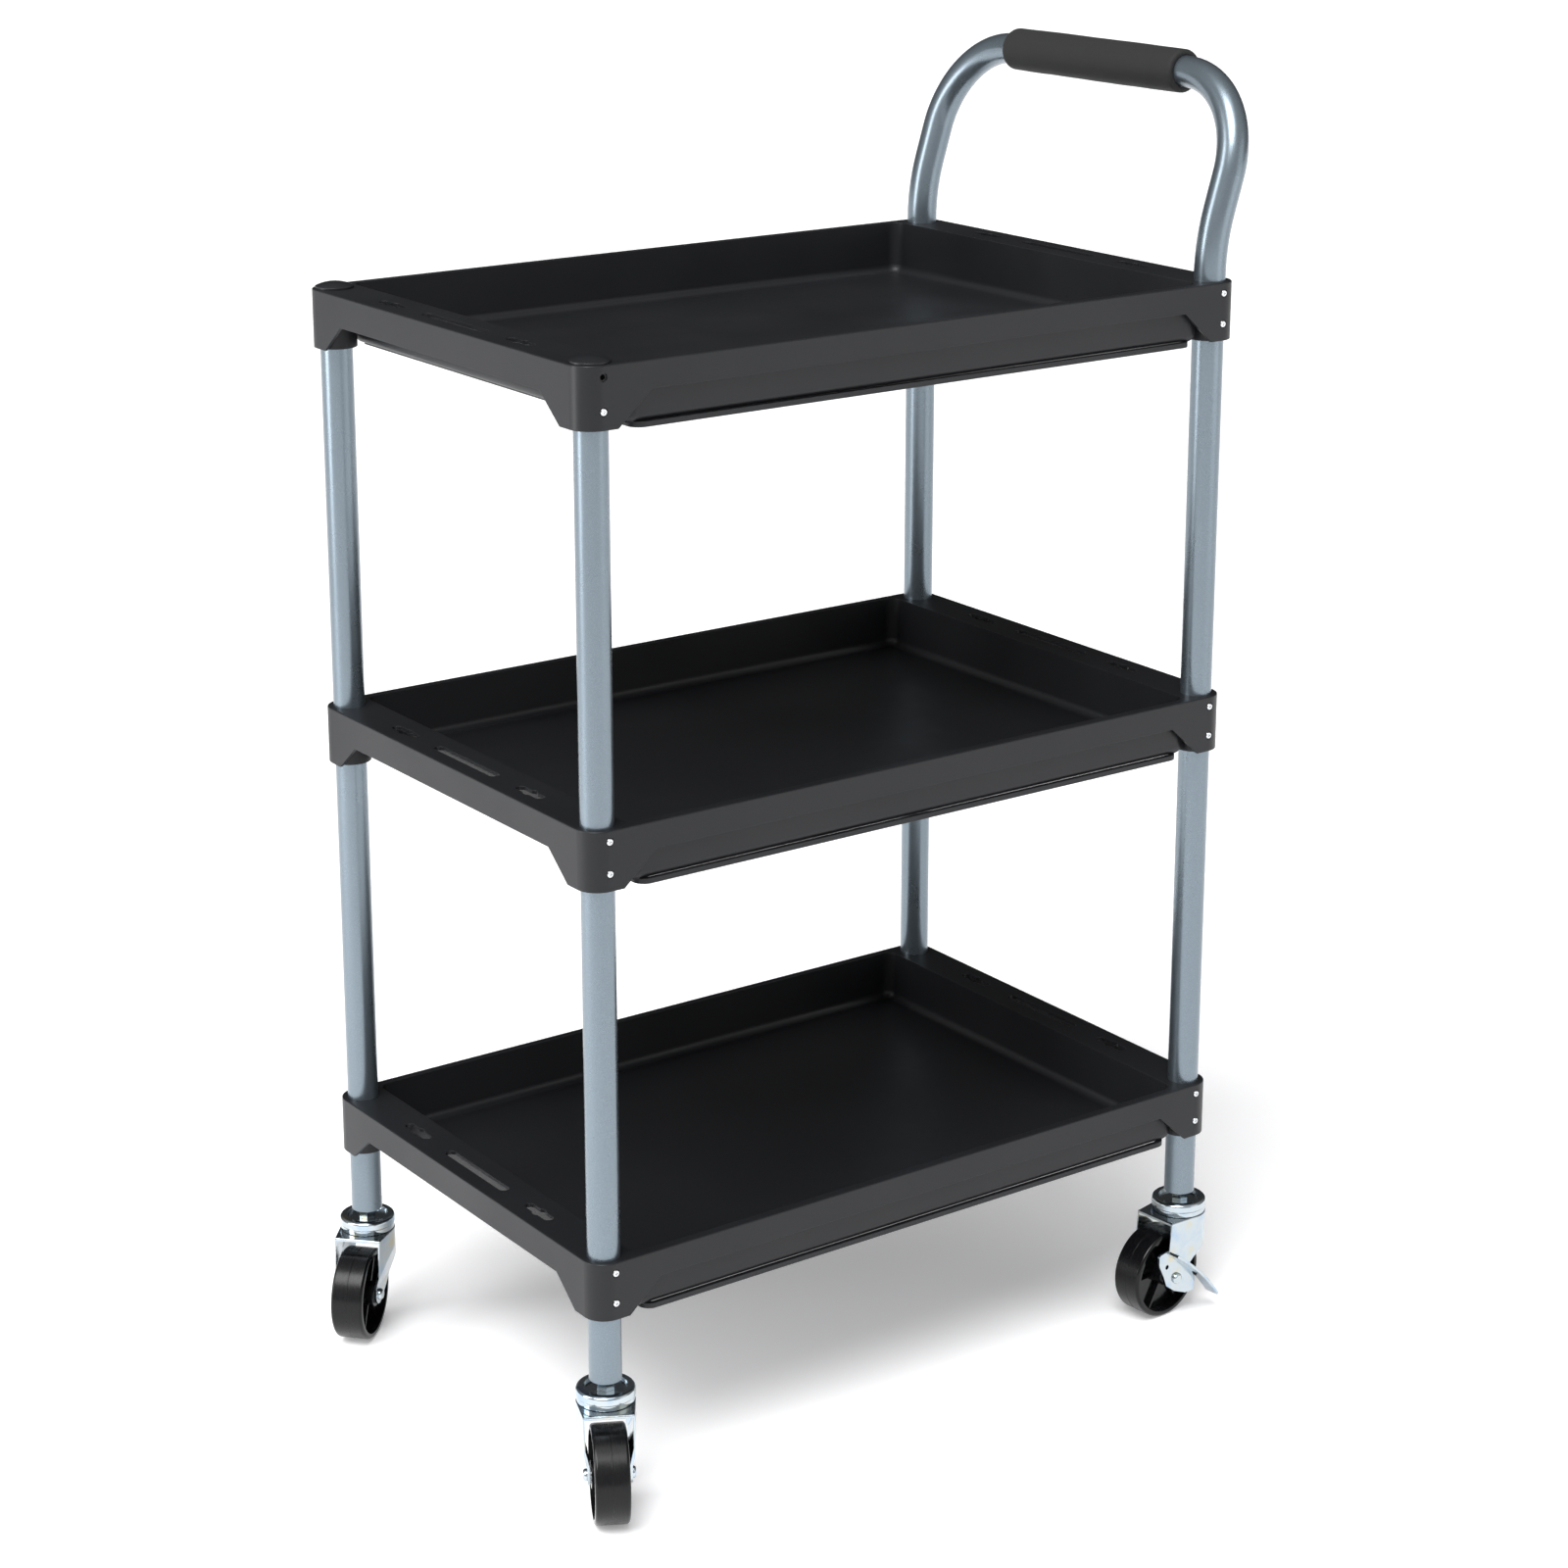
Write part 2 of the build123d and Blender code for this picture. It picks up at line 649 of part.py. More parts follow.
# ------------------------------------------------- casters in their places ----
for leg, (x, y) in zip(leg_names, post_x_y):
    here = Location((x, y, 0), (0, 0, trail_angles[leg]))
    braked = x > 0
    save(f"{leg}_stem", stem.part, here)
    save(f"{leg}_stem_socket", stem_socket.part, here)
    save(f"{leg}_top_race", top_race.part, here)
    save(f"{leg}_balls", ball.part, *[here * Location((0, 0, ball_z)) * spot for spot in balls_at])
    save(f"{leg}_fork", fork.part, here)
    save(f"{leg}_axle", brake_axle if braked else plain_axle, here)
    save(f"{leg}_axle_sleeve", axle_sleeve.part, here)
    save(f"{leg}_wheel", wheel.part, here)
    if braked:
        save(f"{leg}_brake_lever", brake_lever.part, here)
save("stem_nuts", stem_nut.part, *[Location((x, y, 0)) for x, y in post_x_y])
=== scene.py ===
"""A three-shelf tool cart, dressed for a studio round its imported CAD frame.

Every CAD node keeps its shape and its place, and gets its finish here. The
foam grip, the stem threads and the wheels' parting lines are modelled here.
Metres, +Z up, floor at z = 0, the handle at +X.
"""

import logging
import math
from dataclasses import dataclass, field, replace
from enum import Enum
from typing import Callable, Iterable, Mapping, Sequence

import bpy
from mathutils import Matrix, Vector, noise


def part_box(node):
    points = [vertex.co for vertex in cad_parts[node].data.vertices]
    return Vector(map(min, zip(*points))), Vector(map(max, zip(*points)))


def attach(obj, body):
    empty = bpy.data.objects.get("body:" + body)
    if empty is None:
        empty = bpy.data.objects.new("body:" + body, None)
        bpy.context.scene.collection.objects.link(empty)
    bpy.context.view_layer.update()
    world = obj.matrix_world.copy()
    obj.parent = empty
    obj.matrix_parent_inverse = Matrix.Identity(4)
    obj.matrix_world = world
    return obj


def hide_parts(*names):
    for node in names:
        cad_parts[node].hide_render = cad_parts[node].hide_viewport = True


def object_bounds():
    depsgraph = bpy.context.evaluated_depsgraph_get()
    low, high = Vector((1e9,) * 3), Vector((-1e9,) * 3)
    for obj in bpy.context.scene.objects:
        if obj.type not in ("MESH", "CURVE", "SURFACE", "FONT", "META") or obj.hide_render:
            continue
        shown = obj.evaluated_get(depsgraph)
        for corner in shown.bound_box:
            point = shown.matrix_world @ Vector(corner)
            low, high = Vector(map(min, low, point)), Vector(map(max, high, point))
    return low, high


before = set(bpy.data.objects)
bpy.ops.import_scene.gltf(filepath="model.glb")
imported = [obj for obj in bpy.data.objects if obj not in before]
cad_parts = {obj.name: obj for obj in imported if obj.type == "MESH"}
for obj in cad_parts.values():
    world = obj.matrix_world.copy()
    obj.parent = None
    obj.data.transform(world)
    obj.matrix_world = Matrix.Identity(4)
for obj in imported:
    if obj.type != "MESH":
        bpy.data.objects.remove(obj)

CAD_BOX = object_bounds()
MM = 0.001
log = logging.getLogger("tool_cart")

# Sockets of the Mix node once it mixes colours
MIX_FACTOR, MIX_A, MIX_B, MIX_RESULT = 0, 6, 7, 2
# Nearly all of a noise texture's values lie between these
NOISE_LOW, NOISE_HIGH = 0.3, 0.7


class Leg(Enum):
    """The four legs, by the names that their CAD nodes start with."""

    FRONT_LEFT = "front_left"
    BACK_LEFT = "back_left"
    FRONT_RIGHT = "front_right"
    BACK_RIGHT = "back_right"


class Level(Enum):
    """The three trays, by the names that their CAD nodes start with."""

    BOTTOM = "bottom"
    MIDDLE = "middle"
    TOP = "top"


# ---------------------------------------------------------------- nodes ----
def linear(hex_colour: str) -> tuple[float, float, float, float]:
    """Turn an sRGB hex colour into the linear RGBA that sockets take.

    Args:
        hex_colour: Such as "#2a2b2e".

    Returns:
        Red, green, blue and an alpha of 1.
    """
    channels = [int(hex_colour[i:i + 2], 16) / 255 for i in (1, 3, 5)]
    bent = [c / 12.92 if c <= 0.04045 else ((c + 0.055) / 1.055) ** 2.4 for c in channels]
    return (*bent, 1.0)


def add(
    tree: bpy.types.NodeTree,
    kind: str,
    settings: Mapping[str | int, object] | None = None,
    links: Mapping[str | int, bpy.types.NodeSocket] | None = None,
) -> bpy.types.Node:
    """Add a node with its settings and the links into it.

    Args:
        tree: Where the node goes.
        kind: Blender's name for the kind of node.
        settings: Values by property name, input name or input number.
        links: Output sockets by the input that each one feeds.

    Returns:
        The new node.
    """
    made = tree.nodes.new(kind)
    for key, value in (settings or {}).items():
        if isinstance(key, str) and key not in made.inputs:
            setattr(made, key, value)
        else:
            made.inputs[key].default_value = value
    for key, socket in (links or {}).items():
        tree.links.new(socket, made.inputs[key])
    return made


@dataclass(frozen=True)
class Finish:
    """What every finish on the cart has: a name, a colour and its shine."""

    name: str
    colour: str
    roughness: float

    def blank(self) -> tuple[bpy.types.Material, bpy.types.Node, bpy.types.NodeSocket]:
        """Start a material with nothing but its shader.

        Returns:
            The material, its Principled node, and the place on the piece in metres.
        """
        material = bpy.data.materials.new(self.name)
        material.use_nodes = True
        tree = material.node_tree
        tree.nodes.clear()
        shader = add(tree, "ShaderNodeBsdfPrincipled",
                     {"Base Color": linear(self.colour), "Roughness": self.roughness})
        add(tree, "ShaderNodeOutputMaterial", links={"Surface": shader.outputs[0]})
        place = add(tree, "ShaderNodeTexCoord").outputs["Object"]
        return material, shader, place


@dataclass(frozen=True)
class MouldedPolypropylene(Finish):
    """Charcoal polypropylene from a spark-eroded mould.

    The eroded steel leaves an even fine grain, so highlights are broad and
    soft. The melt leaves long faint clouds. The edges are painted paler,
    partly as rubbing wear and partly as a painted edge highlight.
    """

    name: str = "polypropylene_spark_moulded"
    colour: str = "#151618"
    roughness: float = 0.4
    cloud_colour: str = "#1b1c1f"
    # Pale edge colour: partly rubbing wear, partly a painted edge highlight
    rubbed_and_highlight_colour: str = "#4a4c50"
    ior: float = 1.49
    specular: float = 0.34      # the grain scatters part of the gloss
    cloud_mm: float = 140.0
    # Real grain is about 0.15 mm across; drawn coarser, so that it shows
    grain_mm: float = 0.9
    grain_depth_mm: float = 0.03
    grain_strength: float = 0.6
    edge_mm: float = 0.7
    # How far the rounded and the flat normal agree where the pale edge (rubbing wear and painted
    # highlight) starts and is full
    edge_starts: float = 0.97
    edge_full: float = 0.80
    edge_share: float = 0.35
    roughness_spread: float = 0.14

    def material(self) -> bpy.types.Material:
        """Make the grained, clouded plastic, its edges paled by rubbing wear and a painted
        highlight.
        """
        material, shader, place = self.blank()
        tree = material.node_tree
        cloud = add(tree, "ShaderNodeTexNoise",
                    {"Scale": 1 / (self.cloud_mm * MM), "Detail": 4.0}, {"Vector": place})
        grain = add(tree, "ShaderNodeTexNoise",
                    {"Scale": 1 / (self.grain_mm * MM), "Detail": 2.0}, {"Vector": place})
        base = add(tree, "ShaderNodeMix",
                   {"data_type": "RGBA", MIX_A: linear(self.colour),
                    MIX_B: linear(self.cloud_colour)},
                   {MIX_FACTOR: cloud.outputs[0]})
        # Where the rounded normal leaves the flat one, the piece has an edge
        rounded = add(tree, "ShaderNodeBevel", {"samples": 4, "Radius": self.edge_mm * MM})
        flat = add(tree, "ShaderNodeNewGeometry")
        along = add(tree, "ShaderNodeVectorMath", {"operation": "DOT_PRODUCT"},
                    {0: rounded.outputs[0], 1: flat.outputs["Normal"]})
        edge = add(tree, "ShaderNodeMapRange",
                   {"From Min": self.edge_starts, "From Max": self.edge_full,
                    "To Min": 0.0, "To Max": self.edge_share},
                   {"Value": along.outputs["Value"]})
        # Edge mask for the pale colour: rubbing wear and a painted edge highlight, broken up by the
        # clouds
        worn = add(tree, "ShaderNodeMath", {"operation": "MULTIPLY"},
                   {0: edge.outputs[0], 1: cloud.outputs[0]})
        # Paint the pale edge into the base colour: rubbing wear and a painted edge highlight
        colour = add(tree, "ShaderNodeMix",
                     {"data_type": "RGBA", MIX_B: linear(self.rubbed_and_highlight_colour)},
                     {MIX_FACTOR: worn.outputs[0], MIX_A: base.outputs[MIX_RESULT]})
        shine = add(tree, "ShaderNodeMapRange",
                    {"From Min": NOISE_LOW, "From Max": NOISE_HIGH,
                     "To Min": self.roughness - self.roughness_spread / 2,
                     "To Max": self.roughness + self.roughness_spread / 2},
                    {"Value": cloud.outputs[0]})
        bump = add(tree, "ShaderNodeBump",
                   {"Strength": self.grain_strength, "Distance": self.grain_depth_mm * MM},
                   {"Height": grain.outputs[0], "Normal": rounded.outputs[0]})
        shader.inputs["IOR"].default_value = self.ior
        shader.inputs["Specular IOR Level"].default_value = self.specular
        tree.links.new(colour.outputs[MIX_RESULT], shader.inputs["Base Color"])
        tree.links.new(shine.outputs[0], shader.inputs["Roughness"])
        tree.links.new(bump.outputs[0], shader.inputs["Normal"])
        return material


@dataclass(frozen=True)
class PowderCoatedSteel(Finish):
    """Steel tube under a silver powder coat with fine metal flake.

    Baked powder levels into a faint orange peel, so the long highlight down a
    tube has a soft, slightly uneven edge. The flake gives a blue-grey glint.
    """

    name: str = "steel_powder_coated_silver"
    colour: str = "#75818a"
    roughness: float = 0.28
    flake_colour: str = "#828e96"
    metallic: float = 0.85
    coat: float = 0.2
    coat_roughness: float = 0.22
    # Real flake is about 0.05 mm; drawn coarser, so that it shows
    flake_mm: float = 0.6
    peel_mm: float = 2.2
    peel_depth_mm: float = 0.006
    peel_strength: float = 0.5
    scuff_mm: float = 45.0
    scuff_polish: float = 0.03      # roughness lost where hands have rubbed
    scuff_dulling: float = 0.04     # roughness gained where dirt has scratched

    def material(self) -> bpy.types.Material:
        """Make the flaked, orange-peeled coat."""
        material, shader, place = self.blank()
        tree = material.node_tree
        flake = add(tree, "ShaderNodeTexNoise",
                    {"Scale": 1 / (self.flake_mm * MM), "Detail": 1.0}, {"Vector": place})
        fleck = add(tree, "ShaderNodeMapRange", {"From Min": 0.45, "From Max": 0.75},
                    {"Value": flake.outputs[0]})
        colour = add(tree, "ShaderNodeMix",
                     {"data_type": "RGBA", MIX_A: linear(self.colour),
                      MIX_B: linear(self.flake_colour)},
                     {MIX_FACTOR: fleck.outputs[0]})
        scuff = add(tree, "ShaderNodeTexNoise",
                    {"Scale": 1 / (self.scuff_mm * MM), "Detail": 5.0, "Roughness": 0.65},
                    {"Vector": place})
        shine = add(tree, "ShaderNodeMapRange",
                    {"From Min": NOISE_LOW, "From Max": NOISE_HIGH,
                     "To Min": self.roughness - self.scuff_polish,
                     "To Max": self.roughness + self.scuff_dulling},
                    {"Value": scuff.outputs[0]})
        peel = add(tree, "ShaderNodeTexNoise",
                   {"Scale": 1 / (self.peel_mm * MM), "Detail": 1.0}, {"Vector": place})
        bump = add(tree, "ShaderNodeBump",
                   {"Strength": self.peel_strength, "Distance": self.peel_depth_mm * MM},
                   {"Height": peel.outputs[0]})
        shader.inputs["Metallic"].default_value = self.metallic
        shader.inputs["Coat Weight"].default_value = self.coat
        shader.inputs["Coat Roughness"].default_value = self.coat_roughness
        tree.links.new(colour.outputs[MIX_RESULT], shader.inputs["Base Color"])
        tree.links.new(shine.outputs[0], shader.inputs["Roughness"])
        tree.links.new(bump.outputs[0], shader.inputs["Normal"])
        return material


@dataclass(frozen=True)
class BrightZincPlate(Finish):
    """Pressed steel under bright zinc with a clear chromate dip.

    Nearly a mirror, softened by the pressed sheet's own waviness. The
    chromate film is thin enough to tint it, blue in places and straw in others.
    """

    name: str = "steel_zinc_plated_bright"
    colour: str = "#bcc5ca"
    roughness: float = 0.12
    blue_tint: str = "#9fb8cf"
    straw_tint: str = "#c9c09c"
    film_mm: float = 16.0
    ripple_mm: float = 5.0
    ripple_depth_mm: float = 0.02
    ripple_strength: float = 0.5
    roughness_below: float = 0.05
    roughness_above: float = 0.09
    edge_mm: float = 0.5

    def material(self) -> bpy.types.Material:
        """Make the tinted, slightly rippled plate."""
        material, shader, place = self.blank()
        tree = material.node_tree
        film = add(tree, "ShaderNodeTexNoise",
                   {"Scale": 1 / (self.film_mm * MM), "Detail": 3.0}, {"Vector": place})
        blue = add(tree, "ShaderNodeMapRange", {"From Min": 0.5, "From Max": 0.75, "To Max": 0.8},
                   {"Value": film.outputs[0]})
        straw = add(tree, "ShaderNodeMapRange", {"From Min": 0.42, "From Max": 0.25, "To Max": 0.7},
                    {"Value": film.outputs[0]})
        cool = add(tree, "ShaderNodeMix",
                   {"data_type": "RGBA", MIX_A: linear(self.colour), MIX_B: linear(self.blue_tint)},
                   {MIX_FACTOR: blue.outputs[0]})
        colour = add(tree, "ShaderNodeMix",
                     {"data_type": "RGBA", MIX_B: linear(self.straw_tint)},
                     {MIX_FACTOR: straw.outputs[0], MIX_A: cool.outputs[MIX_RESULT]})
        ripple = add(tree, "ShaderNodeTexNoise",
                     {"Scale": 1 / (self.ripple_mm * MM), "Detail": 3.0}, {"Vector": place})
        shine = add(tree, "ShaderNodeMapRange",
                    {"From Min": NOISE_LOW, "From Max": NOISE_HIGH,
                     "To Min": self.roughness - self.roughness_below,
                     "To Max": self.roughness + self.roughness_above},
                    {"Value": ripple.outputs[0]})
        rounded = add(tree, "ShaderNodeBevel", {"samples": 4, "Radius": self.edge_mm * MM})
        bump = add(tree, "ShaderNodeBump",
                   {"Strength": self.ripple_strength, "Distance": self.ripple_depth_mm * MM},
                   {"Height": ripple.outputs[0], "Normal": rounded.outputs[0]})
        shader.inputs["Metallic"].default_value = 1.0
        tree.links.new(colour.outputs[MIX_RESULT], shader.inputs["Base Color"])
        tree.links.new(shine.outputs[0], shader.inputs["Roughness"])
        tree.links.new(bump.outputs[0], shader.inputs["Normal"])
        return material


@dataclass(frozen=True)
class PolishedSteel(Finish):
    """Small hard steel parts, nickel plated or ground.

    A clean metal with fine turning or rolling marks, so each highlight is
    small and sharp.
    """

    name: str = "steel_nickel_plated"
    colour: str = "#d6d8da"
    roughness: float = 0.16
    mark_mm: float = 0.5

    def material(self) -> bpy.types.Material:
        """Make the finely marked metal."""
        material, shader, place = self.blank()
        tree = material.node_tree
        mark = add(tree, "ShaderNodeTexNoise",
                   {"Scale": 1 / (self.mark_mm * MM), "Detail": 2.0}, {"Vector": place})
        shine = add(tree, "ShaderNodeMapRange",
                    {"From Min": NOISE_LOW, "From Max": NOISE_HIGH,
                     "To Min": self.roughness * 0.7, "To Max": self.roughness * 1.5},
                    {"Value": mark.outputs[0]})
        shader.inputs["Metallic"].default_value = 1.0
        tree.links.new(shine.outputs[0], shader.inputs["Roughness"])
        return material


@dataclass(frozen=True)
class FoamRubber(Finish):
    """Extruded nitrile foam with its closed skin.

    Matte and nearly black. Small closed cells stipple the skin, and it picks
    up a faint pale bloom at a low angle.
    """

    name: str = "nitrile_foam_extruded"
    colour: str = "#0f0f10"
    roughness: float = 0.78
    bloom_colour: str = "#161617"
    ior: float = 1.5
    # Real cells are about 0.3 mm; drawn coarser, so that they show
    cell_mm: float = 1.0
    cell_depth_mm: float = 0.16
    bloom_mm: float = 22.0

    def material(self) -> bpy.types.Material:
        """Make the stippled foam skin."""
        material, shader, place = self.blank()
        tree = material.node_tree
        cell = add(tree, "ShaderNodeTexVoronoi", {"Scale": 1 / (self.cell_mm * MM)},
                   {"Vector": place})
        bloom = add(tree, "ShaderNodeTexNoise",
                    {"Scale": 1 / (self.bloom_mm * MM), "Detail": 4.0}, {"Vector": place})
        colour = add(tree, "ShaderNodeMix",
                     {"data_type": "RGBA", MIX_A: linear(self.colour),
                      MIX_B: linear(self.bloom_colour)},
                     {MIX_FACTOR: bloom.outputs[0]})
        bump = add(tree, "ShaderNodeBump",
                   {"Strength": 0.7, "Distance": self.cell_depth_mm * MM},
                   {"Height": cell.outputs["Distance"]})
        shader.inputs["IOR"].default_value = self.ior
        shader.inputs["Sheen Weight"].default_value = 0.02
        shader.inputs["Sheen Roughness"].default_value = 0.5
        tree.links.new(colour.outputs[MIX_RESULT], shader.inputs["Base Color"])
        tree.links.new(bump.outputs[0], shader.inputs["Normal"])
        return material


@dataclass(frozen=True)
class WheelPolypropylene(Finish):
    """Black polypropylene from a polished mould, scuffed where it rolls.

    The faces and the recess are glossy, as the mould was. The tread has gone
    duller and greyer, with fine scratches that run round it.
    """

    name: str = "polypropylene_polish_moulded"
    colour: str = "#08090a"
    roughness: float = 0.15
    axis: tuple[float, float, float] = (0.0, 1.0, 0.0)
    tread_colour: str = "#0f0f11"
    tread_roughness: float = 0.32
    ior: float = 1.49
    specular: float = 0.28      # a worn skin gives back less than a clean one
    smear_mm: float = 9.0
    # Real scratches are about 0.1 mm wide; drawn coarser, so that they show
    scratch_mm: float = 0.7

    def material(self) -> bpy.types.Material:
        """Make the gloss plastic, duller wherever it faces away from the axle."""
        material, shader, place = self.blank()
        tree = material.node_tree
        facing = add(tree, "ShaderNodeTexCoord").outputs["Normal"]
        side_on = add(tree, "ShaderNodeVectorMath", {"operation": "DOT_PRODUCT", 1: self.axis},
                      {0: facing})
        side = add(tree, "ShaderNodeMath", {"operation": "ABSOLUTE"}, {0: side_on.outputs["Value"]})
        tread = add(tree, "ShaderNodeMapRange", {"From Min": 0.6, "From Max": 0.05},
                    {"Value": side.outputs[0]})
        smear = add(tree, "ShaderNodeTexNoise",
                    {"Scale": 1 / (self.smear_mm * MM), "Detail": 5.0, "Roughness": 0.6},
                    {"Vector": place})
        scuffed = add(tree, "ShaderNodeMath", {"operation": "MULTIPLY"},
                      {0: tread.outputs[0], 1: smear.outputs[0]})
        colour = add(tree, "ShaderNodeMix",
                     {"data_type": "RGBA", MIX_A: linear(self.colour),
                      MIX_B: linear(self.tread_colour)},
                     {MIX_FACTOR: scuffed.outputs[0]})
        # Distance along the axle, so that the scratches run round the tread
        across = add(tree, "ShaderNodeVectorMath", {"operation": "DOT_PRODUCT", 1: self.axis},
                     {0: place})
        scratch = add(tree, "ShaderNodeTexNoise",
                      {"noise_dimensions": "1D", "Scale": 1 / (self.scratch_mm * MM), "Detail": 3.0},
                      {"W": across.outputs["Value"]})
        dull = add(tree, "ShaderNodeMath", {"operation": "MULTIPLY"},
                   {0: scratch.outputs[0], 1: scuffed.outputs[0]})
        shine = add(tree, "ShaderNodeMapRange",
                    {"From Max": 0.4, "To Min": self.roughness, "To Max": self.tread_roughness},
                    {"Value": dull.outputs[0]})
        bump = add(tree, "ShaderNodeBump", {"Strength": 0.25, "Distance": 0.03 * MM},
                   {"Height": dull.outputs[0]})
        shader.inputs["IOR"].default_value = self.ior
        shader.inputs["Specular IOR Level"].default_value = self.specular
        tree.links.new(colour.outputs[MIX_RESULT], shader.inputs["Base Color"])
        tree.links.new(shine.outputs[0], shader.inputs["Roughness"])
        tree.links.new(bump.outputs[0], shader.inputs["Normal"])
        return material


@dataclass(frozen=True)
class PaperSweep(Finish):
    """Matte white studio paper: no shine, so that only shadows mark it."""

    name: str = "paper_calendered_white"
    colour: str = "#f7f7f8"
    roughness: float = 0.9
    fibre_mm: float = 6.0
    brightener: float = 0.25    # the glow of the paper's optical brightener

    def material(self) -> bpy.types.Material:
        """Make the paper with its faint fibre."""
        material, shader, place = self.blank()
        tree = material.node_tree
        fibre = add(tree, "ShaderNodeTexNoise",
                    {"Scale": 1 / (self.fibre_mm * MM), "Detail": 3.0}, {"Vector": place})
        bump = add(tree, "ShaderNodeBump", {"Strength": 0.05, "Distance": 0.05 * MM},
                   {"Height": fibre.outputs[0]})
        shader.inputs["Specular IOR Level"].default_value = 0.1
        shader.inputs["Emission Color"].default_value = linear(self.colour)
        shader.inputs["Emission Strength"].default_value = self.brightener
        tree.links.new(bump.outputs[0], shader.inputs["Normal"])
        return material


# --------------------------------------------------------------- meshes ----
def dress(node_name: str, material: bpy.types.Material) -> None:
    """Give a CAD node its material, leaving its shape alone.

    Args:
        node_name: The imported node.
        material: What it is to wear.
    """
    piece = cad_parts[node_name]
    if not piece.material_slots:
        piece.data.materials.append(material)
    for slot in piece.material_slots:
        slot.material = material


def solid(
    name: str,
    points: Sequence[Vector],
    faces: Sequence[Sequence[int]],
    material: bpy.types.Material,
) -> bpy.types.Object:
    """Make a smooth-shaded piece from points and faces.

    Args:
        name: The piece's name.
        points: Corners, in metres.
        faces: Corner numbers of each face, seen from outside.
        material: What it wears.

    Returns:
        The new object, linked to the scene.
    """
    mesh = bpy.data.meshes.new(name)
    mesh.from_pydata([tuple(p) for p in points], [], [tuple(f) for f in faces])
    mesh.validate()
    mesh.shade_smooth()
    mesh.materials.append(material)
    piece = bpy.data.objects.new(name, mesh)
    bpy.context.scene.collection.objects.link(piece)
    return piece


def turned(
    centre: Vector,
    axis: Vector,
    profile: Sequence[tuple[float, float]],
    segments: int,
    uneven: Callable[[float, float], float] = lambda along, angle: 0.0,
) -> tuple[list[Vector], list[tuple[int, ...]]]:
    """Turn a closed profile round an axis.

    Args:
        centre: Where the axis is pierced at 0 along it.
        axis: Unit vector along the axis.
        profile: Distance along and radius of each point, as a closed loop.
        segments: Steps in one turn.
        uneven: Extra radius for a distance along and an angle.

    Returns:
        The points and the faces of a ring-shaped solid.
    """
    side = axis.orthogonal().normalized()
    other = axis.cross(side)
    points = []
    for step in range(segments):
        angle = 2 * math.pi * step / segments
        out = side * math.cos(angle) + other * math.sin(angle)
        points += [centre + axis * along + out * (radius + uneven(along, angle))
                   for along, radius in profile]
    count = len(profile)
    faces = []
    for step in range(segments):
        here, there = step * count, (step + 1) % segments * count
        for i in range(count):
            j = (i + 1) % count
            faces.append((here + i, here + j, there + j, there + i))
    return points, faces


def middle(node_name: str) -> Vector:
    """Centre of a CAD node's box."""
    low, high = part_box(node_name)
    return (Vector(low) + Vector(high)) / 2


# ----------------------------------------------------------- assemblies ----
@dataclass
class Tray:
    """One moulded tray and the screws that hold it to its posts."""

    level: Level
    plastic: bpy.types.Material
    screw_steel: bpy.types.Material

    def build(self) -> Iterable[str]:
        """Dress the tray and its screws.

        Returns:
            The names of the pieces dressed.
        """
        tray, screws = f"{self.level.value}_tray", f"{self.level.value}_tray_screws"
        dress(tray, self.plastic)
        dress(screws, self.screw_steel)
        return tray, screws


@dataclass
class Posts:
    """The tube posts, and the caps over the two that carry no handle."""

    paint: bpy.types.Material
    cap_plastic: bpy.types.Material
    runs: tuple[str, ...] = ("stub", "lower", "upper")
    capped: tuple[Leg, ...] = (Leg.FRONT_LEFT, Leg.BACK_LEFT)

    def build(self) -> Iterable[str]:
        """Dress the posts and the caps.

        Returns:
            The names of the pieces dressed.
        """
        posts = [f"{leg.value}_{run}_post" for leg in Leg for run in self.runs]
        caps = [f"{leg.value}_post_cap" for leg in self.capped]
        for post in posts:
            dress(post, self.paint)
        for cap in caps:
            dress(cap, self.cap_plastic)
        return posts + caps


